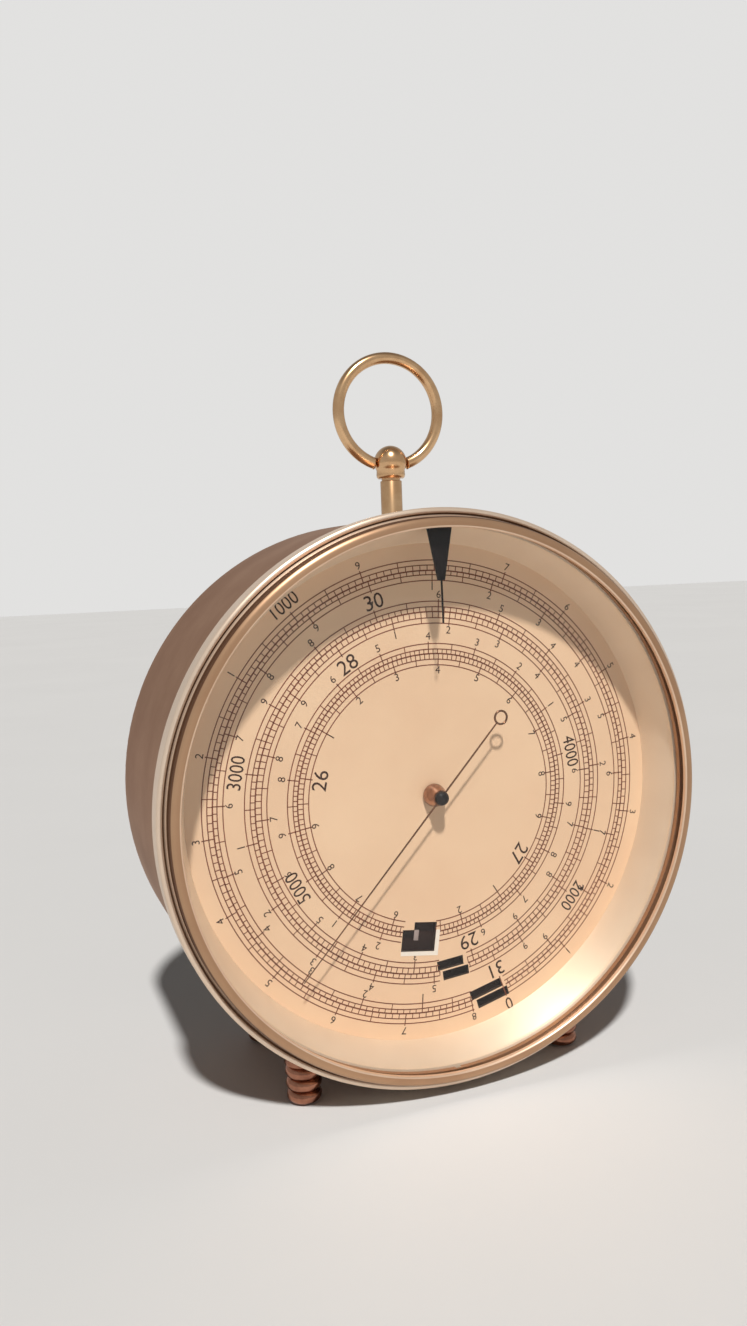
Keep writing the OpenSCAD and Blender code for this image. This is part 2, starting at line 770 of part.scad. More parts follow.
needle_t = 0.3;
tail_ring_r = 1.95;

module pointer() {
  color("#1d2430") on_case() rotate([0, 0, -pointer_angle]) translate([0, 0, pointer_h]) difference() {
    union() {
      linear_extrude(needle_t) polygon([
        [-0.45, 0], [-0.16, pointer_len], [0.16, pointer_len], [0.45, 0],
        [0.3, 1 - tail_len], [-0.3, 1 - tail_len]]);
      disc(2, 0, needle_t);
      translate([0, -tail_len, 0]) disc(tail_ring_r, 0, needle_t);
    }
    disc(arbor_r + seat, -1, 2);
    translate([0, -tail_len, 0]) disc(tail_ring_r - 0.55, -1, 2);
  }
}

module pointer_cap() {
  color("#15171c") on_case() difference() {
    translate([0, 0, pointer_h + needle_t]) rotate_extrude() polygon([
      [0, 0], [1.75, 0], [1.75, 0.7], [1.3, 1.3], [0, 1.5]]);
    disc(arbor_r + seat, pointer_h, pointer_h + 1.2 + seat);
  }
}

// Train arbor

module train_arbor() {
  color("#5a646e") on_case() translate([wheel_at[0], wheel_at[1], 0]) disc(arbor_r, lower_z, sector_top + 0.4);
}

module train_wheel() {
  color("#c19a55") on_case() translate([wheel_at[0], wheel_at[1], wheel_z]) difference() {
    rotate([0, 0, 90 - train_angle]) gear(gear_module, wheel_teeth, backlash, 180, wheel_t);
    for (a = [45:90:315]) rotate([0, 0, a]) ring_part(5, 13.2, -1, wheel_t + 1, 12, 78);
    translate([0, 0, -1]) cylinder(r = arbor_r + seat, h = wheel_t + 2);
  }
}

module train_pinion() {
  color("#c19a55") on_case() translate([wheel_at[0], wheel_at[1], 0]) difference() {
    translate([0, 0, upper_top + gap]) rotate([0, 0, 90 - train_angle])
      gear(rack_module, pinion_teeth, backlash, 0, sector_top + 0.2 - upper_top - gap);
    disc(arbor_r + seat, upper_top, sector_top + 1);
  }
}

// Indicator sector: it turns about the dial's middle and bears a mark for each window

sector_r = circle_3_r + window_slot_h + 1.8;
sector_from = train_angle - 18;
sector_to = train_angle + 50;
slot_from = -sector_travel[1] - 10;
slot_to = -sector_travel[0] + 10;
rack_pitch_r = rack_module * rack_teeth / 2;
slot_in_r = arbor_gap - rack_module * (pinion_teeth / 2 + addendum) - 0.5;

// The rack's slot, with 0 degrees at the train arbor and angles counter-clockwise
module rack_slot() {
  first = floor(-slot_to * rack_teeth / 360);
  last = ceil(-slot_from * rack_teeth / 360);
  teeth = [for (i = [first:last])
    each tooth(rack_pitch_r, rack_module, rack_teeth, -backlash, dedendum, addendum, i * 360 / rack_teeth)];
  a0 = (first - 0.5) * 360 / rack_teeth;
  a1 = (last + 0.5) * 360 / rack_teeth;
  inner = [for (i = [0:24]) let (a = a1 + (a0 - a1) * i / 24) slot_in_r * [cos(a), sin(a)]];
  rotate([0, 0, 90 - train_angle]) polygon(concat(teeth, inner));
}

// The part of a disc outside the sector's two edges
module beyond_sector() {
  step = (sector_from + 360 - sector_to) / 6;
  polygon(concat([[0, 0]], [for (i = [0:6]) clock(2 * sector_r, sector_to + i * step)]));
}

module indicator_sector() {
  hub_r = pipe_r + 1.6;
  color("#1a1a1c") on_case() difference() {
    union() {
      difference() {
        disc(sector_r, sector_z, sector_top);
        translate([0, 0, sector_z - 1]) linear_extrude(sector_t + 2) beyond_sector();
      }
      disc(hub_r + 2, sector_z, sector_top);
      disc(hub_r, upper_top + 0.4, sector_z + 0.1);
      translate([0, 0, sector_z]) rotate([0, 0, -tail_angle]) translate([-1.8, 0, 0]) cube([3.6, tail_r, sector_t]);
      translate([tail_at[0], tail_at[1], 0]) disc(2.5, sector_z, sector_top);
    }
    disc(pipe_r + running, upper_top, sector_top + 1);
    translate([0, 0, sector_z - 1]) linear_extrude(sector_t + 2) rack_slot();
    translate([tail_at[0], tail_at[1], 0]) disc(0.8 + seat, sector_z - 1, sector_top + 1);
  }
}

module ring_marks() {
  mark_w = 1.3;
  mark_h = 3.4;
  color("#f4efe2") on_case() for (r = window_r) at_clock(0, mark_angle)
    translate([-mark_w / 2, r - mark_h / 2 + (r == circle_1_r ? 0.8 : 0), sector_top])
      cube([mark_w, mark_h, 0.2]);
}

module sector_pin() {
  color("#8d9093") on_case() translate([tail_at[0], tail_at[1], 0]) {
    disc(0.8, link_z - 0.3, sector_top);
    disc(1.1, link_z - 0.3, link_z - 0.1);
  }
}

module sector_link() {
  tip = [arm_tip_x, arm_y];
  color("#b08a4e") on_case() difference() {
    translate([0, 0, link_z]) linear_extrude(link_t) {
      bar(tail_at, tip, 2.2);
      translate(tail_at) circle(r = 2);
      translate(tip) circle(r = arm_pin_r + 2);
    }
    translate([tail_at[0], tail_at[1], link_z - 1]) cylinder(r = 0.8 + running, h = link_t + 2);
    translate([tip[0], tip[1], link_z - 1]) cylinder(r = arm_pin_r + 0.8, h = link_t + 2);
  }
}

// Bezel and glass

module bezel() {
  bead_r = 0.75;
  color("#c08a5a") on_case() difference() {
    rotate_extrude() {
      polygon([
        [bezel_in_r, skirt_z], [bezel_r - 0.6, skirt_z], [bezel_r, skirt_z + 0.6],
        [bezel_r, shoulder_z + 0.8], [bezel_r - 0.3, shoulder_z + 1.3],
        [bezel_in_r + 0.25, shoulder_z + 1.5], [bezel_in_r - 0.1, shoulder_z + 1.1],
        [bezel_in_r - 0.5, shoulder_z + 1.1], [bezel_in_r - 0.8, shoulder_z + 1.6],
        [bezel_in_r - 0.95, glass_z + 0.8], [bezel_in_r - 1.4, lip_z - 0.3],
        [glass_r - 0.6, lip_top - 0.35], [glass_r - 1.3, lip_top], [sight_r + 0.4, lip_top],
        [sight_r, lip_top - 0.3], [sight_r, lip_z], [glass_r + 0.1, lip_z],
        [glass_r + 0.1, shoulder_z], [bezel_in_r, shoulder_z]]);
      translate([bezel_r - bead_r - 0.05, shoulder_z + 0.95]) circle(r = bead_r, $fn = 32);
    }
    rotate_extrude() translate([barrel_r - 0.3, bead_z]) circle(r = 0.8, $fn = 32);
  }
}

module glass() {
  color("#cfe3dd", 0.35) on_case() rotate_extrude() polygon([
    [0, glass_z], [glass_r, glass_z], [glass_r, glass_z + glass_t * 0.6],
    [sight_r + 0.2, lip_z], [sight_r - glass_bevel, lip_z], [0, lip_z]]);
}

module glass_ring() {
  color("#8a6a3a") on_case() difference() {
    ring_disc(sight_r + 0.8, glass_r + 0.05, glass_z - 1.3, glass_z);
    translate([0, -glass_r, glass_z - 2]) rotate([0, 0, 45]) cube(3, center = true);
  }
}

module index_wedge() {
  r0 = sight_r + 0.4;
  color("#15171c") on_case() rotate([0, 0, -index_angle]) translate([0, 0, glass_z - 0.8]) {
    linear_extrude(0.8) polygon([
      [-wedge_w / 2, r0], [-0.9, r0 - wedge_len], [0.9, r0 - wedge_len], [wedge_w / 2, r0]]);
    translate([-0.18, r0 - wedge_len - wedge_line, 0.4]) cube([0.36, wedge_line + 1, 0.4]);
  }
}

// Hanger

module at_hanger() {
  translate([0, dial_y + hanger_back, axis_z]) children();
}

// Half the outline of the stem and its round head, from the barrel up
module hanger_profile() {
  head_r = head_d / 2;
  neck_r = stem_d / 2 - 0.4;
  rise = head_z - barrel_r;
  intersection() {
    union() {
      translate([0, -2]) square([stem_d / 2 + 1.2, 2.8]);
      square([stem_d / 2, rise - 0.7]);
      square([neck_r, rise + 1]);
      polygon([[0, rise], [head_r - 1, rise], [head_r - 0.7, rise + 0.6], [head_r - 0.7, rise + 3], [0, rise + 3]]);
      translate([0, rise + head_h / 2]) circle(r = head_r);
    }
    translate([0, -2]) square([head_d, rise + head_h + 3]);
  }
}

module hanger_stem() {
  color("#c79a5c") {
    difference() {
      at_hanger() translate([0, 0, barrel_r]) rotate_extrude() hanger_profile();
      at_hanger() translate([-10, 0, ring_axis]) rotate([0, 90, 0]) cylinder(r = ring_pin_r + running, h = 20);
      on_case() translate([0, 0, -dial_to_back]) cylinder(r = barrel_r + seat, h = dial_to_back);
    }
    at_hanger() disc(hanger_spigot_r, barrel_in_r - 4, barrel_r + 1);
  }
}

module hanger_nut() {
  nut_af = 9;
  nut_t = 3;
  nut_z = barrel_in_r - nut_t - 0.25;
  color("#a07c42") at_hanger() difference() {
    translate([0, 0, nut_z]) cylinder(d = nut_af / cos(30), h = nut_t, $fn = 6);
    disc(hanger_spigot_r + seat, nut_z - 1, nut_z + nut_t + 1);
  }
}

module hanger_ring() {
  r = ring_d / 2;
  knuckle_x = head_d / 2 + gap;
  end_angle = asin((knuckle_x + 1) / r);
  color("#c79a5c") at_hanger() {
    translate([0, 0, ring_centre]) rotate([90, 0, 0]) rotate([0, 0, -90 + end_angle])
      rotate_extrude(angle = 360 - 2 * end_angle) translate([r, 0]) circle(d = ring_wire, $fn = 32);
    for (side = [-1, 1]) translate([0, 0, ring_axis]) rotate([0, side * 90, 0]) {
      disc(ring_pin_r, 1, knuckle_x + 0.4);
      disc(ring_wire / 2 + 0.15, knuckle_x, knuckle_x + 1.6);
    }
  }
}

// Feet

// Half the outline of a foot: a ball, then a widening stem with turned beads
module foot_profile(h) {
  stem_z = 2 * foot_ball_r - 0.2;
  bead_pitch = 2 * foot_bead_r + 0.2;
  intersection() {
    union() {
      translate([0, foot_ball_r - gap]) circle(r = foot_ball_r, $fn = 48);
      translate([0, foot_ball_r]) square([foot_ball_r - 0.9, foot_ball_r + 1]);
      polygon([[0, stem_z], [foot_ball_r - 0.3, stem_z], [foot_top_r, h], [0, h]]);
      for (i = [0:1]) translate([foot_ball_r - 0.5 + 0.35 * i, stem_z + foot_bead_r * 0.8 + bead_pitch * i])
        circle(r = foot_bead_r, $fn = 24);
    }
    square([foot_top_r + 2, h]);
  }
}

module foot(x, back) {
  meets_z = axis_z - sqrt(barrel_r * barrel_r - foot_x * foot_x);
  color("#8a4f34") {
    difference() {
      translate([x, dial_y + back, 0]) rotate_extrude() foot_profile(meets_z + 6);
      on_case() translate([0, 0, -dial_to_back - 1]) cylinder(r = barrel_r + seat, h = dial_to_back + 20);
    }
    translate([x, dial_y + back, 0]) disc(screw_r, meets_z - 3, meets_z + barrel_wall + 4);
  }
}

module foot_front_left() { foot(-foot_x, front_foot_back); }
module foot_front_right() { foot(foot_x, front_foot_back); }
module foot_rear_left() { foot(-foot_x, rear_foot_back); }
module foot_rear_right() { foot(foot_x, rear_foot_back); }

module adjusting_screw() {
  color("#6f6a5e") on_case() translate([block_mid, 0, base_z + 1 - running]) rotate([180, 0, 0])
    slotted_screw(3, dial_to_back + base_z + 1 - running - 0.4, 1.6, base_t - 1 + 2);
}

case_barrel();
reflector_flange();
dial_plate();
dial_pillars();
dial_screws();
base_plate();
case_screws();
capsule();
capsule_stud();
spring_block();
block_screws();
main_spring();
spring_clamp();
spring_screws();
rock_brackets();
bracket_screws();
lower_movement_plate();
upper_movement_plate();
movement_pillars();
movement_screws();
centre_pipe();
sector_clip();
hairspring();
hairspring_stud();
hanger_stem();
hanger_nut();
foot_front_left();
foot_front_right();
foot_rear_left();
foot_rear_right();
centre_arbor();
centre_pinion();
hairspring_collet();
pointer_collet();
pointer();
pointer_cap();
train_arbor();
train_wheel();
train_pinion();
indicator_sector();
ring_marks();
sector_pin();
sector_link();
rock_shaft();
rock_arm();
rock_crank();
main_lever();
compensation_strip();
capsule_post();
knife_edge();
lever_link();
bezel();
glass();
glass_ring();
index_wedge();
hanger_ring();
adjusting_screw();
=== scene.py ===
# Marine barometer: the looks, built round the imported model
import math

import bmesh
import bpy
from mathutils import Matrix, Vector


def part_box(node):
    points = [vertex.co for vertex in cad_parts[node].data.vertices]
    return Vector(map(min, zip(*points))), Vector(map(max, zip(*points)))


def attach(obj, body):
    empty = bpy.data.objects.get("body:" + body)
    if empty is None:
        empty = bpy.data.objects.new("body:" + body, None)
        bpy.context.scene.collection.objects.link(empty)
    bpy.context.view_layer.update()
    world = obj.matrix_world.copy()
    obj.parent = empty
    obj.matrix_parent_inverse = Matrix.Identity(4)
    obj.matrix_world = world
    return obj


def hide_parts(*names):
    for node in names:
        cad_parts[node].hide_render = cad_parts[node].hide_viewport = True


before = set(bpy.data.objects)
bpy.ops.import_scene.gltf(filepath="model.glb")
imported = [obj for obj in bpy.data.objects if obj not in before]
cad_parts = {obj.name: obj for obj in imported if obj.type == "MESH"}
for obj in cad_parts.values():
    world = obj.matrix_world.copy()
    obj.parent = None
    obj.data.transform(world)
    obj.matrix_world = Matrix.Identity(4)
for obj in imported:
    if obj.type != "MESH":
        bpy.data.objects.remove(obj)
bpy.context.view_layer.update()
mm = 0.001

# The case's own frame in millimetres: x to the right, y up, z out of the dial towards the reader
dialLow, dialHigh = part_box("dial_plate")
axisHeight = (dialLow.z + dialHigh.z) / 2
caseFrame = (Matrix.Translation((0, dialLow.y, axisHeight))
             @ Matrix.Rotation(math.radians(90), 4, "X") @ Matrix.Scale(mm, 4))
finishes = {}
handledNodes = set()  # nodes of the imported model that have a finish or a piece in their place


def clock(radius, degrees):  # a point of the dial, clockwise from the top
    angle = math.radians(degrees)
    return radius * math.sin(angle), radius * math.cos(angle)


def atClock(radius, degrees, height=0.0):  # local y points outwards
    x, y = clock(radius, degrees)
    return Matrix.Translation((x, y, height)) @ Matrix.Rotation(-math.radians(degrees), 4, "Z")


def arc(centreX, centreZ, radius, start, end, steps):
    points = []
    for i in range(steps + 1):
        angle = math.radians(start + (end - start) * i / steps)
        points.append((centreX + radius * math.cos(angle), centreZ + radius * math.sin(angle)))
    return points


def turn(profile, closed=True, steps=192):  # a lathe: the profile is (radius, height)
    bm = bmesh.new()
    points = [bm.verts.new((radius, 0, height)) for radius, height in profile]
    for first, second in zip(points, points[1:]):
        bm.edges.new((first, second))
    if closed:
        bm.edges.new((points[-1], points[0]))
    bmesh.ops.spin(bm, geom=bm.verts[:] + bm.edges[:], axis=(0, 0, 1), cent=(0, 0, 0),
                   angle=2 * math.pi, steps=steps, use_merge=True)
    bmesh.ops.remove_doubles(bm, verts=bm.verts, dist=1e-4)
    bmesh.ops.recalc_face_normals(bm, faces=bm.faces)
    return bm


def soften(bm, width, limit=25, segments=2):  # small rounds on the sharp edges
    sharp = [edge for edge in bm.edges
             if len(edge.link_faces) == 2 and edge.calc_face_angle() > math.radians(limit)]
    bmesh.ops.bevel(bm, geom=sharp, offset=width, offset_type="OFFSET", segments=segments,
                    profile=0.5, affect="EDGES", material=-1, clamp_overlap=True)


def raiseFace(bm, face, height):  # a prism on one flat face
    moved = bmesh.ops.extrude_face_region(bm, geom=[face])["geom"]
    bmesh.ops.translate(bm, vec=(0, 0, height), verts=[v for v in moved if isinstance(v, bmesh.types.BMVert)])
    bmesh.ops.recalc_face_normals(bm, faces=bm.faces)


def addPiece(bm, name, finish, body, replaced=(), place=caseFrame,
             smoothAngle=35):
    bmesh.ops.transform(bm, matrix=place, verts=bm.verts)
    mesh = bpy.data.meshes.new(name)
    bm.to_mesh(mesh)
    bm.free()
    mesh.polygons.foreach_set("use_smooth", [True] * len(mesh.polygons))
    mesh.set_sharp_from_angle(angle=math.radians(smoothAngle))
    mesh.materials.append(finish)
    piece = bpy.data.objects.new(name, mesh)
    bpy.context.scene.collection.objects.link(piece)
    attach(piece, body)
    handledNodes.update(replaced)
    if replaced:
        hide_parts(*replaced)
    return piece


# Finishes

def addNode(tree, kind, inputs=None, **settings):
    node = tree.nodes.new(kind)
    for key, value in settings.items():
        setattr(node, key, value)
    for key, value in (inputs or {}).items():
        if isinstance(value, bpy.types.NodeSocket):
            tree.links.new(value, node.inputs[key])
        else:
            node.inputs[key].default_value = value
    return node


def rampOf(tree, factor, stops):
    node = addNode(tree, "ShaderNodeValToRGB", {"Fac": factor})
    elements = node.color_ramp.elements
    while len(elements) < len(stops):
        elements.new(0.5)
    for element, (position, colour) in zip(elements, stops):
        element.position = position
        element.color = (*colour, 1)
    return node.outputs["Color"]


def levelOf(tree, factor, low, high):
    node = addNode(tree, "ShaderNodeMapRange", {"Value": factor, "To Min": low, "To Max": high})
    return node.outputs["Result"]


def newFinish(name):
    material = bpy.data.materials.new(name)
    finishes[name] = material
    material.use_nodes = True
    tree = material.node_tree
    tree.nodes.clear()
    shader = addNode(tree, "ShaderNodeBsdfPrincipled")
    addNode(tree, "ShaderNodeOutputMaterial", {"Surface": shader.outputs["BSDF"]})
    coordinates = addNode(tree, "ShaderNodeTexCoord").outputs["Object"]
    return tree, shader, coordinates


def noiseOf(tree, vector, scale, detail=3, roughness=0.5):
    node = addNode(tree, "ShaderNodeTexNoise",
                   {"Vector": vector, "Scale": scale, "Detail": detail, "Roughness": roughness})
    return node.outputs["Fac"]


def mathOf(tree, operation, first, second):
    return addNode(tree, "ShaderNodeMath", {0: first, 1: second}, operation=operation).outputs["Value"]


def mixOf(tree, factor, first, second, blend="MIX"):
    node = addNode(tree, "ShaderNodeMix", {"Factor": factor, "A": first, "B": second},
                   data_type="RGBA", blend_type=blend)
    return node.outputs["Result"]


def addRelief(tree, shader, height, distance, strength):
    relief = addNode(tree, "ShaderNodeBump", {"Height": height, "Distance": distance, "Strength": strength})
    tree.links.new(relief.outputs["Normal"], shader.inputs["Normal"])


def plainMetal(name, light, dark, rough=(0.2, 0.4), patch=60.0, grain=1500.0, bump=0.00002,
               metallic=1.0, shine=0.5, sheen=(1, 1, 1)):
    tree, shader, coordinates = newFinish(name)
    patches = noiseOf(tree, coordinates, patch, 5, 0.6)
    fine = noiseOf(tree, coordinates, grain, 2)
    colour = rampOf(tree, patches, [(0.3, dark), (0.62, light)])
    tree.links.new(colour, shader.inputs["Base Color"])
    tree.links.new(levelOf(tree, patches, rough[1], rough[0]), shader.inputs["Roughness"])
    addRelief(tree, shader, fine, bump, 0.5)
    shader.inputs["Metallic"].default_value = metallic
    shader.inputs["Specular IOR Level"].default_value = shine
    shader.inputs["Specular Tint"].default_value = (*sheen, 1)


def paintFinish(name, light, dark, rough=(0.4, 0.6), patch=40.0, grain=900.0, shine=0.5):
    plainMetal(name, light, dark, rough, patch, grain, bump=0.00001, metallic=0.0, shine=shine)


lathe = {"ringScale": 3200.0, "patch": 45.0, "bump": 0.000006, "quarterTurn": 0.25}


def turnedMetal(name, light, dark, rough, stretch=0.5, metallic=1.0, lightAndShadeBands=None):
    tree, shader, coordinates = newFinish(name)
    centred = addNode(tree, "ShaderNodeMapping", {"Vector": coordinates, "Location": (0, 0, -axisHeight)})
    parts = addNode(tree, "ShaderNodeSeparateXYZ", {"Vector": centred.outputs["Vector"]}).outputs
    flat = addNode(tree, "ShaderNodeCombineXYZ", {"X": parts["X"], "Y": parts["Z"]}).outputs["Vector"]
    reach = addNode(tree, "ShaderNodeVectorMath", {0: flat}, operation="LENGTH").outputs["Value"]
    along = mathOf(tree, "ADD", reach, parts["Y"])
    ringPlace = addNode(tree, "ShaderNodeCombineXYZ", {"X": along}).outputs["Vector"]
    rings = noiseOf(tree, ringPlace, lathe["ringScale"], 4, 0.7)  # fine rings round the dial's axis
    patches = noiseOf(tree, coordinates, lathe["patch"], 5, 0.6)
    colour = rampOf(tree, patches, [(0.3, dark), (0.6, light)])
    if lightAndShadeBands:
        # painted shade and painted highlights, multiplied into the colour by the distance from the axis
        start, end = lightAndShadeBands["from"], lightAndShadeBands["to"]
        place = addNode(tree, "ShaderNodeMapRange",
                        {"Value": reach, "From Min": start * mm, "From Max": end * mm}).outputs["Result"]
        stops = [((radius - start) / (end - start), tone) for radius, tone in lightAndShadeBands["tones"]]
        colour = mixOf(tree, 1.0, colour, rampOf(tree, place, stops), "MULTIPLY")
    tree.links.new(colour, shader.inputs["Base Color"])
    mixed = mathOf(tree, "MULTIPLY", rings, patches)
    tree.links.new(levelOf(tree, mixed, rough[1], rough[0]), shader.inputs["Roughness"])
    addRelief(tree, shader, rings, lathe["bump"], 0.6)
    shader.inputs["Metallic"].default_value = metallic
    shader.inputs["Anisotropic"].default_value = stretch
    shader.inputs["Anisotropic Rotation"].default_value = lathe["quarterTurn"]
    tangent = addNode(tree, "ShaderNodeTangent", direction_type="RADIAL", axis="Y")
    tree.links.new(tangent.outputs["Tangent"], shader.inputs["Tangent"])


dialDepth = 0.04 * mm  # what lies farther behind the face is a cut wall


def dialFinish(name, light, dark, wall):
    tree, shader, coordinates = newFinish(name)
    patches = noiseOf(tree, coordinates, 28.0, 5, 0.62)
    specks = noiseOf(tree, coordinates, 700.0, 2)
    paint = rampOf(tree, patches, [(0.3, dark), (0.62, light)])
    depth = addNode(tree, "ShaderNodeSeparateXYZ", {"Vector": coordinates}).outputs["Y"]
    behind = mathOf(tree, "GREATER_THAN", depth, dialLow.y + dialDepth)
    tree.links.new(mixOf(tree, behind, paint, (*wall, 1)), shader.inputs["Base Color"])
    tree.links.new(levelOf(tree, patches, 0.5, 0.36), shader.inputs["Roughness"])
    addRelief(tree, shader, specks, 0.000008, 0.4)


glassLook = {"roughness": 0.02, "power": 5.0, "leastGloss": 0.025, "mostGloss": 0.9}


def glassFinish(name):
    tree, shader, coordinates = newFinish(name)
    tree.nodes.remove(shader)
    smears = noiseOf(tree, coordinates, 25.0, 4)
    tint = rampOf(tree, smears, [(0.2, (0.97, 0.972, 0.962)), (0.8, (0.985, 0.986, 0.98))])
    clear = addNode(tree, "ShaderNodeBsdfTransparent", {"Color": tint}).outputs["BSDF"]
    gloss = addNode(tree, "ShaderNodeBsdfGlossy", {"Roughness": glassLook["roughness"]}).outputs["BSDF"]
    facing = addNode(tree, "ShaderNodeLayerWeight", {"Blend": 0.5}).outputs["Facing"]
    grazing = mathOf(tree, "POWER", facing, glassLook["power"])
    share = levelOf(tree, grazing, glassLook["leastGloss"], glassLook["mostGloss"])
    mix = addNode(tree, "ShaderNodeMixShader", {0: share, 1: clear, 2: gloss})
    output = next(node for node in tree.nodes if node.type == "OUTPUT_MATERIAL")
    tree.links.new(mix.outputs["Shader"], output.inputs["Surface"])


# Painted light on the bezel: the dark groove tones are painted shade, and the light line between the grooves is
# a painted highlight
bezelGrooveShade = (0.2, 0.12, 0.08)
bezelHighlightLine = (0.95, 0.9, 0.86)
bezelDeepGrooveShade = (0.12, 0.07, 0.045)
bezelLightAndShadeBands = {  # painted shade in the grooves and a darker tan band on the lip, with base-bright lines left between them as painted highlights at the sight edge, between the grooves and on the outer bead; by the distance from the axis, in millimetres
    "from": 66, "to": 72,
    "tones": [(67.1, (1, 0.92, 0.86)), (67.3, (0.52, 0.38, 0.28)), (69.1, (0.6, 0.46, 0.35)),
              (69.18, bezelGrooveShade), (69.5, bezelGrooveShade), (69.6, bezelHighlightLine), (69.95, bezelHighlightLine),
              (70.02, bezelDeepGrooveShade), (70.4, bezelDeepGrooveShade), (70.5, (1, 1, 1))]}

plainMetal("drumLacquer", (0.36, 0.215, 0.14), (0.28, 0.155, 0.10), (0.34, 0.46), 35, 700,
           metallic=0.6, sheen=(0.72, 0.5, 0.38))
turnedMetal("bezelBrassWithPaintedLight", (0.86, 0.69, 0.54), (0.76, 0.58, 0.44), (0.3, 0.42), metallic=0.75,
            lightAndShadeBands=bezelLightAndShadeBands)
plainMetal("ringBrass", (0.80, 0.52, 0.29), (0.62, 0.36, 0.18), (0.16, 0.28), 160, 900, 0.000006)
plainMetal("acornBrass", (0.50, 0.29, 0.20), (0.22, 0.11, 0.07), (0.12, 0.24), 700, 2500, 0.000004)
plainMetal("footBrass", (0.42, 0.19, 0.12), (0.20, 0.08, 0.05), (0.14, 0.28), 260)
plainMetal("movementBrass", (0.70, 0.50, 0.24), (0.56, 0.38, 0.17), (0.25, 0.42))
turnedMetal("silveredMetal", (0.97, 0.81, 0.64), (0.91, 0.74, 0.57), (0.44, 0.54), stretch=0.75,
            metallic=0.55)
dialFinish("dialPaint", (0.90, 0.625, 0.415), (0.85, 0.565, 0.37), (0.05, 0.03, 0.02))
paintFinish("blackEnamel", (0.014, 0.010, 0.010), (0.008, 0.006, 0.006), (0.35, 0.5), shine=0.2)
paintFinish("whiteEnamel", (0.95, 0.87, 0.78), (0.89, 0.80, 0.71))
# the marks' grey is darkened with painted shade, for the shade inside the dial window
paintFinish("markGreyWithPaintedShade", (0.44, 0.335, 0.31), (0.38, 0.29, 0.27))
paintFinish("scaleInk", (0.25, 0.08, 0.045), (0.17, 0.052, 0.03), shine=0.1)
paintFinish("figureInk", (0.06, 0.026, 0.018), (0.035, 0.016, 0.012), shine=0.1)
plainMetal("bluedSteel", (0.24, 0.12, 0.07), (0.15, 0.08, 0.05), (0.22, 0.36))
plainMetal("steel", (0.48, 0.48, 0.48), (0.38, 0.38, 0.39), (0.28, 0.42))
plainMetal("nickelSilver", (0.62, 0.60, 0.55), (0.50, 0.48, 0.44), (0.26, 0.4))
paintFinish("sectorBlack", (0.034, 0.015, 0.011), (0.024, 0.010, 0.008), (0.5, 0.7), shine=0.15)
glassFinish("clearGlass")
print("finishes", len(finishes))


def keepNode(name, finish):
    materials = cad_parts[name].data.materials
    materials.clear()
    materials.append(finishes[finish])
    handledNodes.add(name)


# Drum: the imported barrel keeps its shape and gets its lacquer

drum = {"radius": 70.4}
keepNode("case_barrel", "drumLacquer")
print("drum finished")

# Bezel

bezelRing = {"bore": 70.5, "outside": 71.75, "skirt": 5.0, "shoulder": 9.4, "sight": 66.8, "seat": 69.1,
             "glassTop": 13.5, "lip": 14.6, "skirtRound": 0.5, "bead": 0.75, "grooveRound": 0.6,
             "lipRound": 1.35, "sightRound": 0.4}


def makeBezel():
    b = bezelRing
    skirtRound = b["skirtRound"]
    profile = [(b["bore"], b["skirt"]), (b["outside"] - skirtRound, b["skirt"])]
    profile += arc(b["outside"] - skirtRound, b["skirt"] + skirtRound, skirtRound, -90, 0, 4)[1:]
    profile += arc(b["outside"] - b["bead"], b["shoulder"] + 0.95, b["bead"], -10, 150, 10)
    profile += [(b["bore"] - 0.1, b["shoulder"] + 1.1), (b["bore"] - 0.5, b["shoulder"] + 1.1)]
    profile += arc(b["bore"] - 0.5, b["shoulder"] + 2.1, b["grooveRound"], 230, 190, 4)
    profile += [(b["bore"] - 1.25, b["glassTop"] - 0.6)]
    profile += arc(b["bore"] - 2.4, b["lip"] - b["lipRound"], b["lipRound"], 10, 88, 8)
    profile += [(b["sight"] + 0.45, b["lip"])]
    profile += arc(b["sight"] + b["sightRound"], b["lip"] - b["sightRound"], b["sightRound"], 90, 180, 4)
    profile += [(b["sight"], b["glassTop"]), (b["seat"], b["glassTop"]), (b["seat"], b["shoulder"]),
                (b["bore"], b["shoulder"])]
    return turn(profile)


addPiece(makeBezel(), "bezelRing", finishes["bezelBrassWithPaintedLight"], "bezel_group", ["bezel"])
print("bezel made")

# Glass

glassDisc = {"radius": 69.0, "under": 11.0, "top": 13.5, "bevelEdge": 62.8, "bevelBend": 67.0,
             "bendDrop": 0.05, "bevelDrop": 1.0}


def makeGlass():
    g = glassDisc
    profile = [(0, g["under"]), (g["radius"], g["under"]), (g["radius"], g["top"] - g["bevelDrop"]),
               (g["bevelBend"], g["top"] - g["bendDrop"]), (g["bevelEdge"], g["top"]), (0, g["top"])]
    return turn(profile, closed=False)


addPiece(makeGlass(), "glassPane", finishes["clearGlass"], "bezel_group", ["glass"],
         smoothAngle=0.5)
print("glass made")

# Flange between dial and glass

flange = {"foot": 63.5, "top": 67.2, "front": 8.6, "lip": 9.1, "rim": 70.1, "thick": 0.8, "bendIn": 0.25,
          "bendDown": 0.5, "underside": 0.6, "edge": 0.12}


def makeFlange():
    f = flange
    outer = f["top"] + f["thick"]
    profile = [(f["foot"], 0.0), (f["top"] - f["bendIn"], f["front"] - f["bendDown"]),
               (f["top"], f["front"]), (f["top"], f["lip"]), (f["rim"], f["lip"]), (f["rim"], f["front"]),
               (outer, f["front"]), (outer, f["front"] - f["underside"]), (f["foot"] + f["thick"], 0.0)]
    bm = turn(profile)
    soften(bm, f["edge"])
    return bm


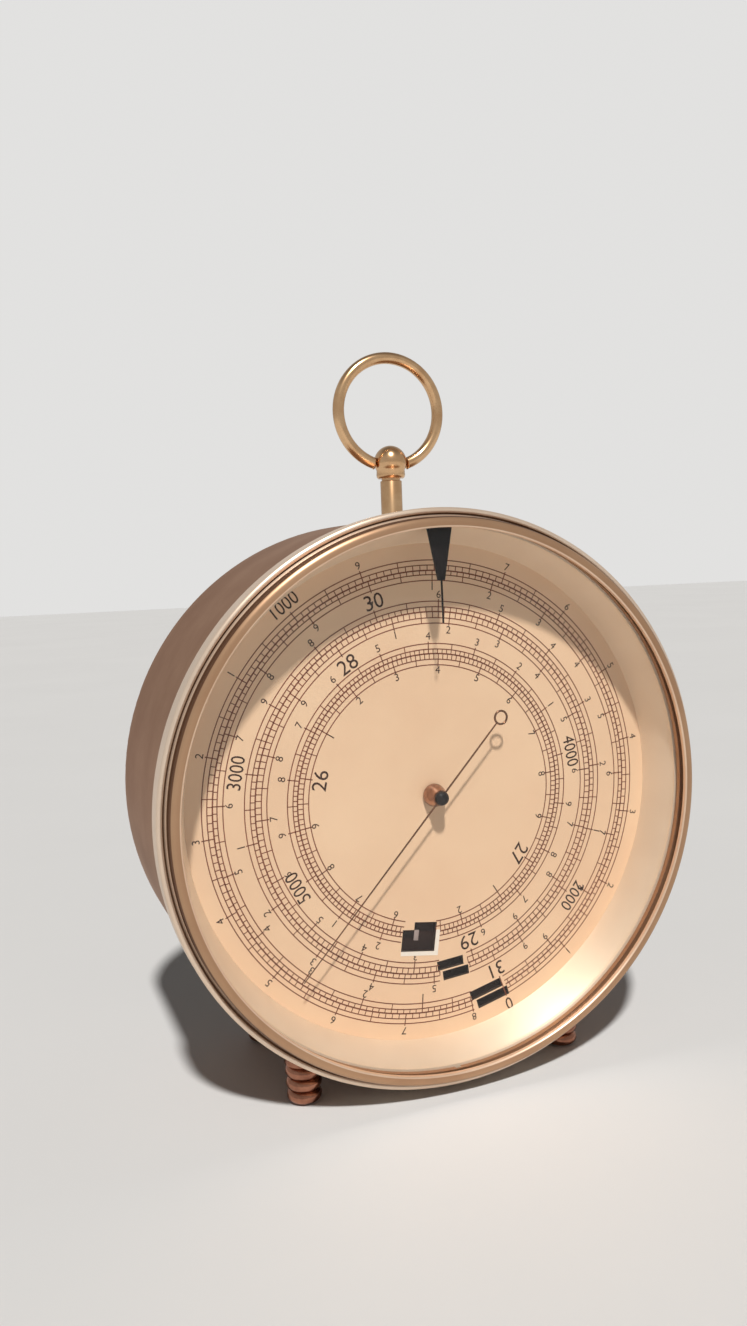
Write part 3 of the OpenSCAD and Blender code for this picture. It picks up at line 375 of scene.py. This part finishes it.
addPiece(makeFlange(), "reflector", finishes["silveredMetal"], "case", ["reflector_flange"])
print("flange made")

# Pointer on its acorn

needle = {"angle": 222.6, "length": 55.7, "tail": 25.6, "height": 5.0, "wide": 0.23, "tip": 0.11,
          "tailWide": 0.2, "thick": 0.3, "edge": 0.06, "ring": 1.7, "wire": 0.28, "hub": 2.0,
          "hubTaper": 0.15, "hubThick": 0.36, "hubHeight": 0.16}


def makeNeedle():
    n = needle
    bm = bmesh.new()
    outline = [(-n["wide"], 0), (-n["tip"], n["length"]), (n["tip"], n["length"]), (n["wide"], 0),
               (n["tailWide"], n["ring"] - n["tail"]), (-n["tailWide"], n["ring"] - n["tail"])]
    face = bm.faces.new([bm.verts.new((x, y, 0)) for x, y in outline])
    raiseFace(bm, face, n["thick"])
    soften(bm, n["edge"], 60, 1)
    bmesh.ops.create_cone(bm, cap_ends=True, segments=48, radius1=n["hub"], radius2=n["hub"] - n["hubTaper"],
                          depth=n["hubThick"], matrix=Matrix.Translation((0, 0, n["hubHeight"])))
    ringSection = (Matrix.Translation((n["ring"], -n["tail"], n["thick"] / 2))
                   @ Matrix.Rotation(math.radians(90), 4, "X"))
    ring = bmesh.ops.create_circle(bm, segments=16, radius=n["wire"], matrix=ringSection)["verts"]
    edges = [edge for edge in bm.edges if edge.verts[0] in ring and edge.verts[1] in ring]
    bmesh.ops.spin(bm, geom=ring + edges, axis=(0, 0, 1), cent=(0, -n["tail"], 0),
                   angle=2 * math.pi, steps=48, use_merge=True)
    bmesh.ops.recalc_face_normals(bm, faces=bm.faces)
    return bm


pointerPlace = caseFrame @ Matrix.Translation((0, 0, needle["height"])) \
    @ Matrix.Rotation(-math.radians(needle["angle"]), 4, "Z")
addPiece(makeNeedle(), "needle", finishes["bluedSteel"], "centre", ["pointer"],
         pointerPlace)


acornProfile = [(0, 0.4), (2.75, 0.4), (2.9, 0.55), (2.95, 1.2), (2.8, 2.2), (2.5, 3.2), (2.1, 4.1),
                (1.8, 5.0), (0, 5.0)]
acornCapProfile = [(0, 5.3), (1.7, 5.3), (1.75, 5.4), (1.75, 5.95), (1.6, 6.3), (1.25, 6.6), (0.7, 6.78),
                   (0, 6.8)]
addPiece(turn(acornProfile, closed=False, steps=64), "acorn", finishes["acornBrass"], "centre",
         ["pointer_collet"])
addPiece(turn(acornCapProfile, closed=False, steps=64), "acornCap", finishes["blackEnamel"], "centre",
         ["pointer_cap"])
print("pointer made")

# Index wedge under the glass

wedge = {"angle": -0.7, "top": 67.2, "length": 12.9, "wide": 6.6, "tip": 1.8, "thick": 0.8, "edge": 0.12,
         "line": 10.3, "lineWide": 0.36, "lineThick": 0.4, "lineHeight": -0.2, "overlap": 1}


def makeWedge():
    w = wedge
    bm = bmesh.new()
    low = w["top"] - w["length"]
    wide, tip = w["wide"] / 2, w["tip"] / 2
    outline = [(-wide, w["top"]), (-tip, low), (tip, low), (wide, w["top"])]
    raiseFace(bm, bm.faces.new([bm.verts.new((x, y, 0)) for x, y in outline]), -w["thick"])
    soften(bm, w["edge"])
    lineMiddle = low - w["line"] / 2 + w["overlap"] / 2
    bmesh.ops.create_cube(bm, size=1, matrix=Matrix.Translation((0, lineMiddle, w["lineHeight"]))
                          @ Matrix.Diagonal((w["lineWide"], w["line"] + w["overlap"], w["lineThick"], 1)))
    return bm


wedgePlace = caseFrame @ Matrix.Translation((0, 0, glassDisc["under"])) \
    @ Matrix.Rotation(-math.radians(wedge["angle"]), 4, "Z")
addPiece(makeWedge(), "indexWedge", finishes["blackEnamel"], "bezel_group", ["index_wedge"],
         wedgePlace)
print("index made")

# Hanger

hanger = {"behind": 20.4, "rise": 10.9, "head": 4.3, "headHeight": 8.6, "headStart": -30,
          "collar": [(4.1, -1.2), (4.1, 0.3), (3.7, 0.75), (3.0, 0.9), (2.85, 1.2)],
          "neck": [(2.85, -0.8), (2.75, -0.65), (2.45, -0.6), (2.45, 0), (3.4, 0), (3.7, 0.35), (3.8, 0.9)],
          "pinDrop": 0.4, "ringRadius": 14.05, "wire": 1.5, "gap": 0.1, "knuckle": 1.5, "knuckleOut": 0.45,
          "knuckleFlat": 0.3}
hangerPlace = Matrix.Translation((0, dialLow.y + hanger["behind"] * mm, axisHeight)) @ Matrix.Scale(mm, 4)


def makeStem():
    h = hanger
    base = drum["radius"]
    headBase = base + h["rise"]
    profile = [(0, base + h["collar"][0][1])]
    profile += [(radius, base + height) for radius, height in h["collar"]]
    profile += [(radius, headBase + height) for radius, height in h["neck"]]
    profile += arc(0, headBase + h["headHeight"] / 2, h["head"], h["headStart"], 90, 16)
    return turn(profile, closed=False, steps=96)


def makeHangingRing():
    h = hanger
    ringAxis = drum["radius"] + h["rise"] + h["headHeight"] / 2 - h["pinDrop"]
    ringMiddle = ringAxis + math.sqrt(h["ringRadius"] ** 2 - h["head"] ** 2)
    endX = h["head"] + h["gap"] + h["knuckleOut"]
    gap = math.asin(endX / h["ringRadius"])
    bm = bmesh.new()
    sectionPlace = Matrix.Translation((h["ringRadius"], 0, 0)) @ Matrix.Rotation(math.radians(90), 4, "X")
    section = bmesh.ops.create_circle(bm, segments=24, radius=h["wire"], matrix=sectionPlace)["verts"]
    bmesh.ops.rotate(bm, verts=section, cent=(0, 0, 0), matrix=Matrix.Rotation(-math.pi / 2 + gap, 3, "Z"))
    bmesh.ops.spin(bm, geom=section + bm.edges[:], axis=(0, 0, 1), cent=(0, 0, 0),
                   angle=2 * math.pi - 2 * gap, steps=128)
    bmesh.ops.holes_fill(bm, edges=bm.edges, sides=24)
    upright = Matrix.Translation((0, 0, ringMiddle)) @ Matrix.Rotation(math.radians(90), 4, "X")
    bmesh.ops.transform(bm, verts=bm.verts, matrix=upright)
    for side in (-1, 1):
        knuckle = (Matrix.Translation((side * endX, 0, ringAxis)) @ Matrix.Rotation(math.radians(90), 4, "Y")
                   @ Matrix.Diagonal((1, 1, h["knuckleFlat"], 1)))
        bmesh.ops.create_uvsphere(bm, u_segments=32, v_segments=16, radius=h["knuckle"], matrix=knuckle)
    bmesh.ops.recalc_face_normals(bm, faces=bm.faces)
    return bm


addPiece(makeStem(), "hangerStem", finishes["ringBrass"], "case", ["hanger_stem"],
         hangerPlace)
addPiece(makeHangingRing(), "hangingRing", finishes["ringBrass"], "hanging_ring", ["hanger_ring"],
         hangerPlace)
print("hanger made")

# Feet

foot = {"beads": [(4.4, 1.9), (4.5, 5.0), (4.6, 8.1)], "beadRound": 1.7, "beadSweep": 70, "groove": 0.6,
        "flat": 2.4, "top": 4.7, "topRound": 0.45, "above": 4, "sunk": 0.5, "out": 36.8, "frontBack": 2.0,
        "rearBack": 40.0}


def makeFoot(x):
    f = foot
    middle = axisHeight / mm
    meets = middle - math.sqrt(drum["radius"] ** 2 - x ** 2)
    profile = [(0, 0), (f["flat"], 0)]
    for i, (reach, height) in enumerate(f["beads"]):
        bead = arc(reach - f["beadRound"], height, f["beadRound"], -f["beadSweep"], f["beadSweep"], 12)
        profile += bead[2:] if i == 0 else bead
        profile.append((reach - f["groove"], bead[-1][1] + 0.05))
    neck = profile[-1][1]
    profile += [(f["top"] - f["topRound"], neck + 0.1), (f["top"], neck + 0.5),
                (f["top"], meets + f["above"]), (0, meets + f["above"])]
    bm = turn(profile, closed=False, steps=64)
    topHeight = max(vert.co.z for vert in bm.verts)
    for vert in bm.verts:
        if vert.co.z > topHeight - 0.01:  # the top follows the drum, a little inside its wall
            wall = math.sqrt((drum["radius"] - f["sunk"]) ** 2 - (x + vert.co.x) ** 2)
            vert.co.z = middle - wall
    return bm


for depthName in ("front", "rear"):
    for sideName, side in (("left", -1), ("right", 1)):
        x = side * foot["out"]
        y = dialLow.y + foot[f"{depthName}Back"] * mm
        place = Matrix.Translation((x * mm, y, 0)) @ Matrix.Scale(mm, 4)
        addPiece(makeFoot(x), f"{depthName}{sideName.capitalize()}Foot", finishes["footBrass"], "case",
                 [f"foot_{depthName}_{sideName}"], place)
print("feet made")

# Printed scales

scaleBands = [
    {"circles": [33.06, 34.46, 35.88, 37.03, 38.42], "inchFigures": 31.8, "feetFigures": 40.4,
     "from": 191.5, "to": 536.5, "zero": 25.6, "zeroAngle": 197.0, "perInch": 204.6},
    {"circles": [43.56, 44.91, 46.44, 47.66, 49.05], "inchFigures": 42.0, "feetFigures": 50.8,
     "from": 535.8, "to": 885.5, "zero": 27.3, "zeroAngle": 544.8, "perInch": 199.2},
    {"circles": [54.27, 55.67, 56.76, 58.08, 59.35], "inchFigures": 52.8, "feetFigures": 61.2,
     "from": 886.5, "to": 1236.2, "zero": 29.0, "zeroAngle": 883.5, "perInch": 176.8},
]
scalePrint = {"turned": 3.87, "line": 0.27, "strongLine": 0.36, "tick": 0.23, "longTick": 0.27, "sunk": 0.02,
              "proud": 0.03, "inchFigure": 3.8, "feetFigure": 3.5, "smallFigure": 1.9, "inchIn": 1.2,
              "feetOut": 1.0, "feetSqueeze": 0.85, "past": 0.5, "arcStep": 1.5, "slackStart": 0.3,
              "slackEnd": 0.9, "hundredths": (2555, 3101), "tens": (0, 525),
              "feetPerDecade": 62759.0, "topInch": 31.0}
printThick = scalePrint["proud"] + scalePrint["sunk"]
printMiddle = (scalePrint["proud"] - scalePrint["sunk"]) / 2


def addTick(bm, degrees, inside, outside, wide):
    bmesh.ops.create_cube(bm, size=1, matrix=atClock((inside + outside) / 2, degrees, printMiddle)
                          @ Matrix.Diagonal((wide, outside - inside, printThick, 1)))


def addScaleCircle(bm, radius, wide, start, end):
    sunk, proud = -scalePrint["sunk"], scalePrint["proud"]
    corners = []
    for offset, height in ((-wide / 2, sunk), (wide / 2, sunk), (wide / 2, proud), (-wide / 2, proud)):
        x, y = clock(radius + offset, start)
        corners.append(bm.verts.new((x, y, height)))
    edges = [bm.edges.new((corners[i], corners[(i + 1) % 4])) for i in range(4)]
    bmesh.ops.spin(bm, geom=corners + edges, axis=(0, 0, 1), cent=(0, 0, 0),
                   angle=-math.radians(end - start), steps=int((end - start) / scalePrint["arcStep"]))


def figureMesh(text):
    curve = bpy.data.curves.new("figure", "FONT")
    curve.body = text
    curve.align_x = "CENTER"
    curve.extrude = 0.5  # one unit thick, so that its place can give the real thickness
    curve.resolution_u = 3
    holder = bpy.data.objects.new("figure", curve)
    bpy.context.scene.collection.objects.link(holder)
    bpy.context.view_layer.update()
    evaluated = holder.evaluated_get(bpy.context.evaluated_depsgraph_get())
    mesh = bpy.data.meshes.new_from_object(evaluated)
    bpy.data.objects.remove(holder)
    ys = [vert.co.y for vert in mesh.vertices]
    xs = [vert.co.x for vert in mesh.vertices]
    return mesh, (min(xs) + max(xs)) / 2, (min(ys) + max(ys)) / 2, max(ys) - min(ys)


figureStore = {}


def addFigure(bm, text, radius, degrees, tall, squeeze=1.0):
    if text not in figureStore:
        figureStore[text] = figureMesh(text)
    mesh, middleX, middleY, height = figureStore[text]
    grow = tall / height
    before = len(bm.verts)
    bm.from_mesh(mesh)
    bm.verts.ensure_lookup_table()
    place = (atClock(radius, degrees, printMiddle) @ Matrix.Diagonal((grow * squeeze, grow, printThick, 1))
             @ Matrix.Translation((-middleX, -middleY, 0)))
    bmesh.ops.transform(bm, matrix=place, verts=bm.verts[before:])


def bandAngle(band, inches):  # None outside the band
    angle = band["zeroAngle"] + band["perInch"] * (inches - band["zero"])
    inside = band["from"] - scalePrint["slackStart"] <= angle <= band["to"] + scalePrint["slackEnd"]
    return angle + scalePrint["turned"] if inside else None


lines = bmesh.new()
ticks = bmesh.new()
figures = bmesh.new()


def printCircles(band):
    for i, radius in enumerate(band["circles"]):
        wide = scalePrint["strongLine"] if i == 2 else scalePrint["line"]
        addScaleCircle(lines, radius, wide, band["from"] + scalePrint["turned"],
                       band["to"] + scalePrint["turned"])


def printInches(band):
    p = scalePrint
    circles = band["circles"]
    for hundredth in range(*p["hundredths"]):
        angle = bandAngle(band, hundredth / 100)
        if angle is None:
            continue
        if hundredth % 10 == 0:
            addTick(ticks, angle, circles[0] - p["past"], circles[2], p["longTick"])
            if hundredth % 100 == 0:
                addFigure(figures, str(hundredth // 100), band["inchFigures"] - p["inchIn"], angle,
                          p["inchFigure"])
            else:
                addFigure(figures, str(hundredth // 10 % 10), band["inchFigures"], angle, p["smallFigure"])
        else:
            addTick(ticks, angle, circles[0 if hundredth % 5 == 0 else 1], circles[2], p["tick"])


def printFeet(band):
    p = scalePrint
    circles = band["circles"]
    for ten in range(*p["tens"]):
        feet = ten * 10
        angle = bandAngle(band, p["topInch"] * 10 ** (-feet / p["feetPerDecade"]))
        if angle is None:
            continue
        if feet % 100 == 0:
            addTick(ticks, angle, circles[2], circles[4] + p["past"], p["longTick"])
            if feet % 1000 == 0:
                addFigure(figures, str(feet), band["feetFigures"] + p["feetOut"], angle, p["feetFigure"],
                          p["feetSqueeze"])
            else:
                addFigure(figures, str(feet // 100 % 10), band["feetFigures"], angle, p["smallFigure"])
        else:
            addTick(ticks, angle, circles[2], circles[4 if feet % 50 == 0 else 3], p["tick"])


for band in scaleBands:
    printCircles(band)
    printInches(band)
    printFeet(band)
bmesh.ops.holes_fill(lines, edges=lines.edges, sides=4)
for bm in (lines, ticks, figures):
    bmesh.ops.recalc_face_normals(bm, faces=bm.faces)
addPiece(lines, "scaleCircles", finishes["scaleInk"], "case")
addPiece(ticks, "scaleTicks", finishes["scaleInk"], "case")
addPiece(figures, "scaleFigures", finishes["figureInk"], "case")
print("scales printed")

# White edge on two sides of the inner window

windowEdge = {"angle": 188.0, "wide": 9.3, "outside": 40.6, "tall": 5.6, "sideStrip": 1.1,
              "outerStrip": 1.1, "base": -0.02, "thick": 0.08}


def makeWindowEdge():
    w = windowEdge
    bm = bmesh.new()
    side = -w["wide"] / 2
    inner = w["outside"] - w["tall"]
    rim = w["outside"] + w["outerStrip"]
    corners = [(side, inner), (side, w["outside"]), (-side, w["outside"]), (-side, rim),
               (side - w["sideStrip"], rim), (side - w["sideStrip"], inner)]
    raiseFace(bm, bm.faces.new([bm.verts.new((x, y, w["base"])) for x, y in corners]), w["thick"])
    return bm


addPiece(makeWindowEdge(), "windowEdge", finishes["whiteEnamel"], "case",
         place=caseFrame @ atClock(0, windowEdge["angle"]))
keepNode("dial_plate", "dialPaint")
print("window edge made")

# Pale marks on the dark sector, one of which shows in a window; their grey is partly their own paint and partly
# painted shade from the window they sit under

sectorMarks = {"angle": 188.0, "radii": [37.0, 46.4, 56.8], "shift": -0.15, "wide": 1.3, "tall": 2.8,
               "thick": 0.2, "edge": 0.07}


def makeSectorMarks(base):
    m = sectorMarks
    bm = bmesh.new()
    for radius in m["radii"]:
        bmesh.ops.create_cube(bm, size=1, matrix=Matrix.Translation((m["shift"], radius, base + m["thick"] / 2))
                              @ Matrix.Diagonal((m["wide"], m["tall"], m["thick"], 1)))
    soften(bm, m["edge"])
    return bm


marksBack = (dialLow.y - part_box("ring_marks")[1].y) / mm
addPiece(makeSectorMarks(marksBack), "sectorMarks", finishes["markGreyWithPaintedShade"], "sector", ["ring_marks"],
         caseFrame @ atClock(0, sectorMarks["angle"]))
print("sector marks made")

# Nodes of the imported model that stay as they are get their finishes

keptFinishes = {
    "ringBrass": ["case_screws"],
    "sectorBlack": ["indicator_sector"],
    "bezelBrassWithPaintedLight": ["glass_ring"],
    "steel": ["block_screws", "spring_screws", "bracket_screws", "rock_shaft", "knife_edge", "centre_arbor",
              "train_arbor", "sector_clip", "compensation_strip", "lever_link", "sector_pin",
              "adjusting_screw"],
    "bluedSteel": ["main_spring", "hairspring", "movement_screws"],
    "nickelSilver": ["capsule"],
}
for finish, names in keptFinishes.items():
    for name in names:
        keepNode(name, finish)
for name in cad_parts:
    if name not in handledNodes:
        keepNode(name, "movementBrass")
print("kept nodes finished")

# Stage

stage = {"floorSize": 8.0, "floorSteps": 8, "floor": (0.69, 0.685, 0.675), "fill": 0.17, "mirrored": 0.55,
         "pale": (0.76, 0.755, 0.745), "dim": (0.30, 0.29, 0.28), "paleTo": 0.55, "dimFrom": 0.9,
         "keyDirection": (-0.14, -0.58, 0.80), "keyAngle": 3.5, "keyStrength": 3.5,
         "keyColour": (1.0, 0.985, 0.965)}


def makeFloor():
    bm = bmesh.new()
    bmesh.ops.create_grid(bm, x_segments=stage["floorSteps"], y_segments=stage["floorSteps"],
                          size=stage["floorSize"] / 2)
    mesh = bpy.data.meshes.new("floor")
    bm.to_mesh(mesh)
    bm.free()
    floor = bpy.data.objects.new("floor", mesh)
    bpy.context.scene.collection.objects.link(floor)
    paler = tuple(value * 1.03 for value in stage["floor"])
    paintFinish("floorPaint", paler, stage["floor"], (0.6, 0.7), 4, 400)
    mesh.materials.append(finishes["floorPaint"])


def makeSky():  # a pale sweep under a dim ceiling, full for the eye and weak as a light
    world = bpy.data.worlds.new("studio")
    bpy.context.scene.world = world
    world.use_nodes = True
    tree = world.node_tree
    tree.nodes.clear()
    path = addNode(tree, "ShaderNodeLightPath").outputs
    mirrored = mathOf(tree, "MULTIPLY", path["Is Glossy Ray"], stage["mirrored"])
    seen = mathOf(tree, "MAXIMUM", path["Is Camera Ray"], mirrored)
    seen = mathOf(tree, "MAXIMUM", seen, path["Is Transmission Ray"])
    strength = levelOf(tree, seen, stage["fill"], 1.0)
    direction = addNode(tree, "ShaderNodeTexCoord").outputs["Generated"]
    upward = addNode(tree, "ShaderNodeSeparateXYZ", {"Vector": direction}).outputs["Z"]
    sky = rampOf(tree, upward, [(stage["paleTo"], stage["pale"]), (stage["dimFrom"], stage["dim"])])
    background = addNode(tree, "ShaderNodeBackground", {"Color": sky, "Strength": strength})
    addNode(tree, "ShaderNodeOutputWorld", {"Surface": background.outputs["Background"]})


def makeKeyLamp():
    lampData = bpy.data.lights.new("keyLamp", "SUN")
    lampData.angle = math.radians(stage["keyAngle"])
    lampData.energy = stage["keyStrength"]
    lampData.color = stage["keyColour"]
    lamp = bpy.data.objects.new("keyLamp", lampData)
    direction = Vector(stage["keyDirection"]).normalized()
    lamp.rotation_euler = direction.to_track_quat("Z", "Y").to_euler()
    bpy.context.scene.collection.objects.link(lamp)


makeFloor()
makeSky()
makeKeyLamp()
print("stage set")

# Camera

camera = {"place": (-0.10767, -0.25885, 0.13137), "right": (0.93115, -0.3628, -0.0374),
          "up": (0.0673, 0.07, 0.9953), "lens": 28.56, "sensor": 36.0, "nearest": 0.01}


def makeCamera():
    data = bpy.data.cameras.new("camera")
    data.lens = camera["lens"]
    data.sensor_fit = "VERTICAL"
    data.sensor_height = camera["sensor"]
    data.clip_start = camera["nearest"]
    view = bpy.data.objects.new("camera", data)
    right = Vector(camera["right"]).normalized()
    up = Vector(camera["up"])
    up = (up - right * up.dot(right)).normalized()
    back = right.cross(up)
    turned = Matrix((right, up, back)).transposed().to_4x4()
    view.matrix_world = Matrix.Translation(camera["place"]) @ turned
    bpy.context.scene.collection.objects.link(view)
    bpy.context.scene.camera = view


makeCamera()
bpy.context.scene.view_settings.view_transform = "Standard"
print("camera set")
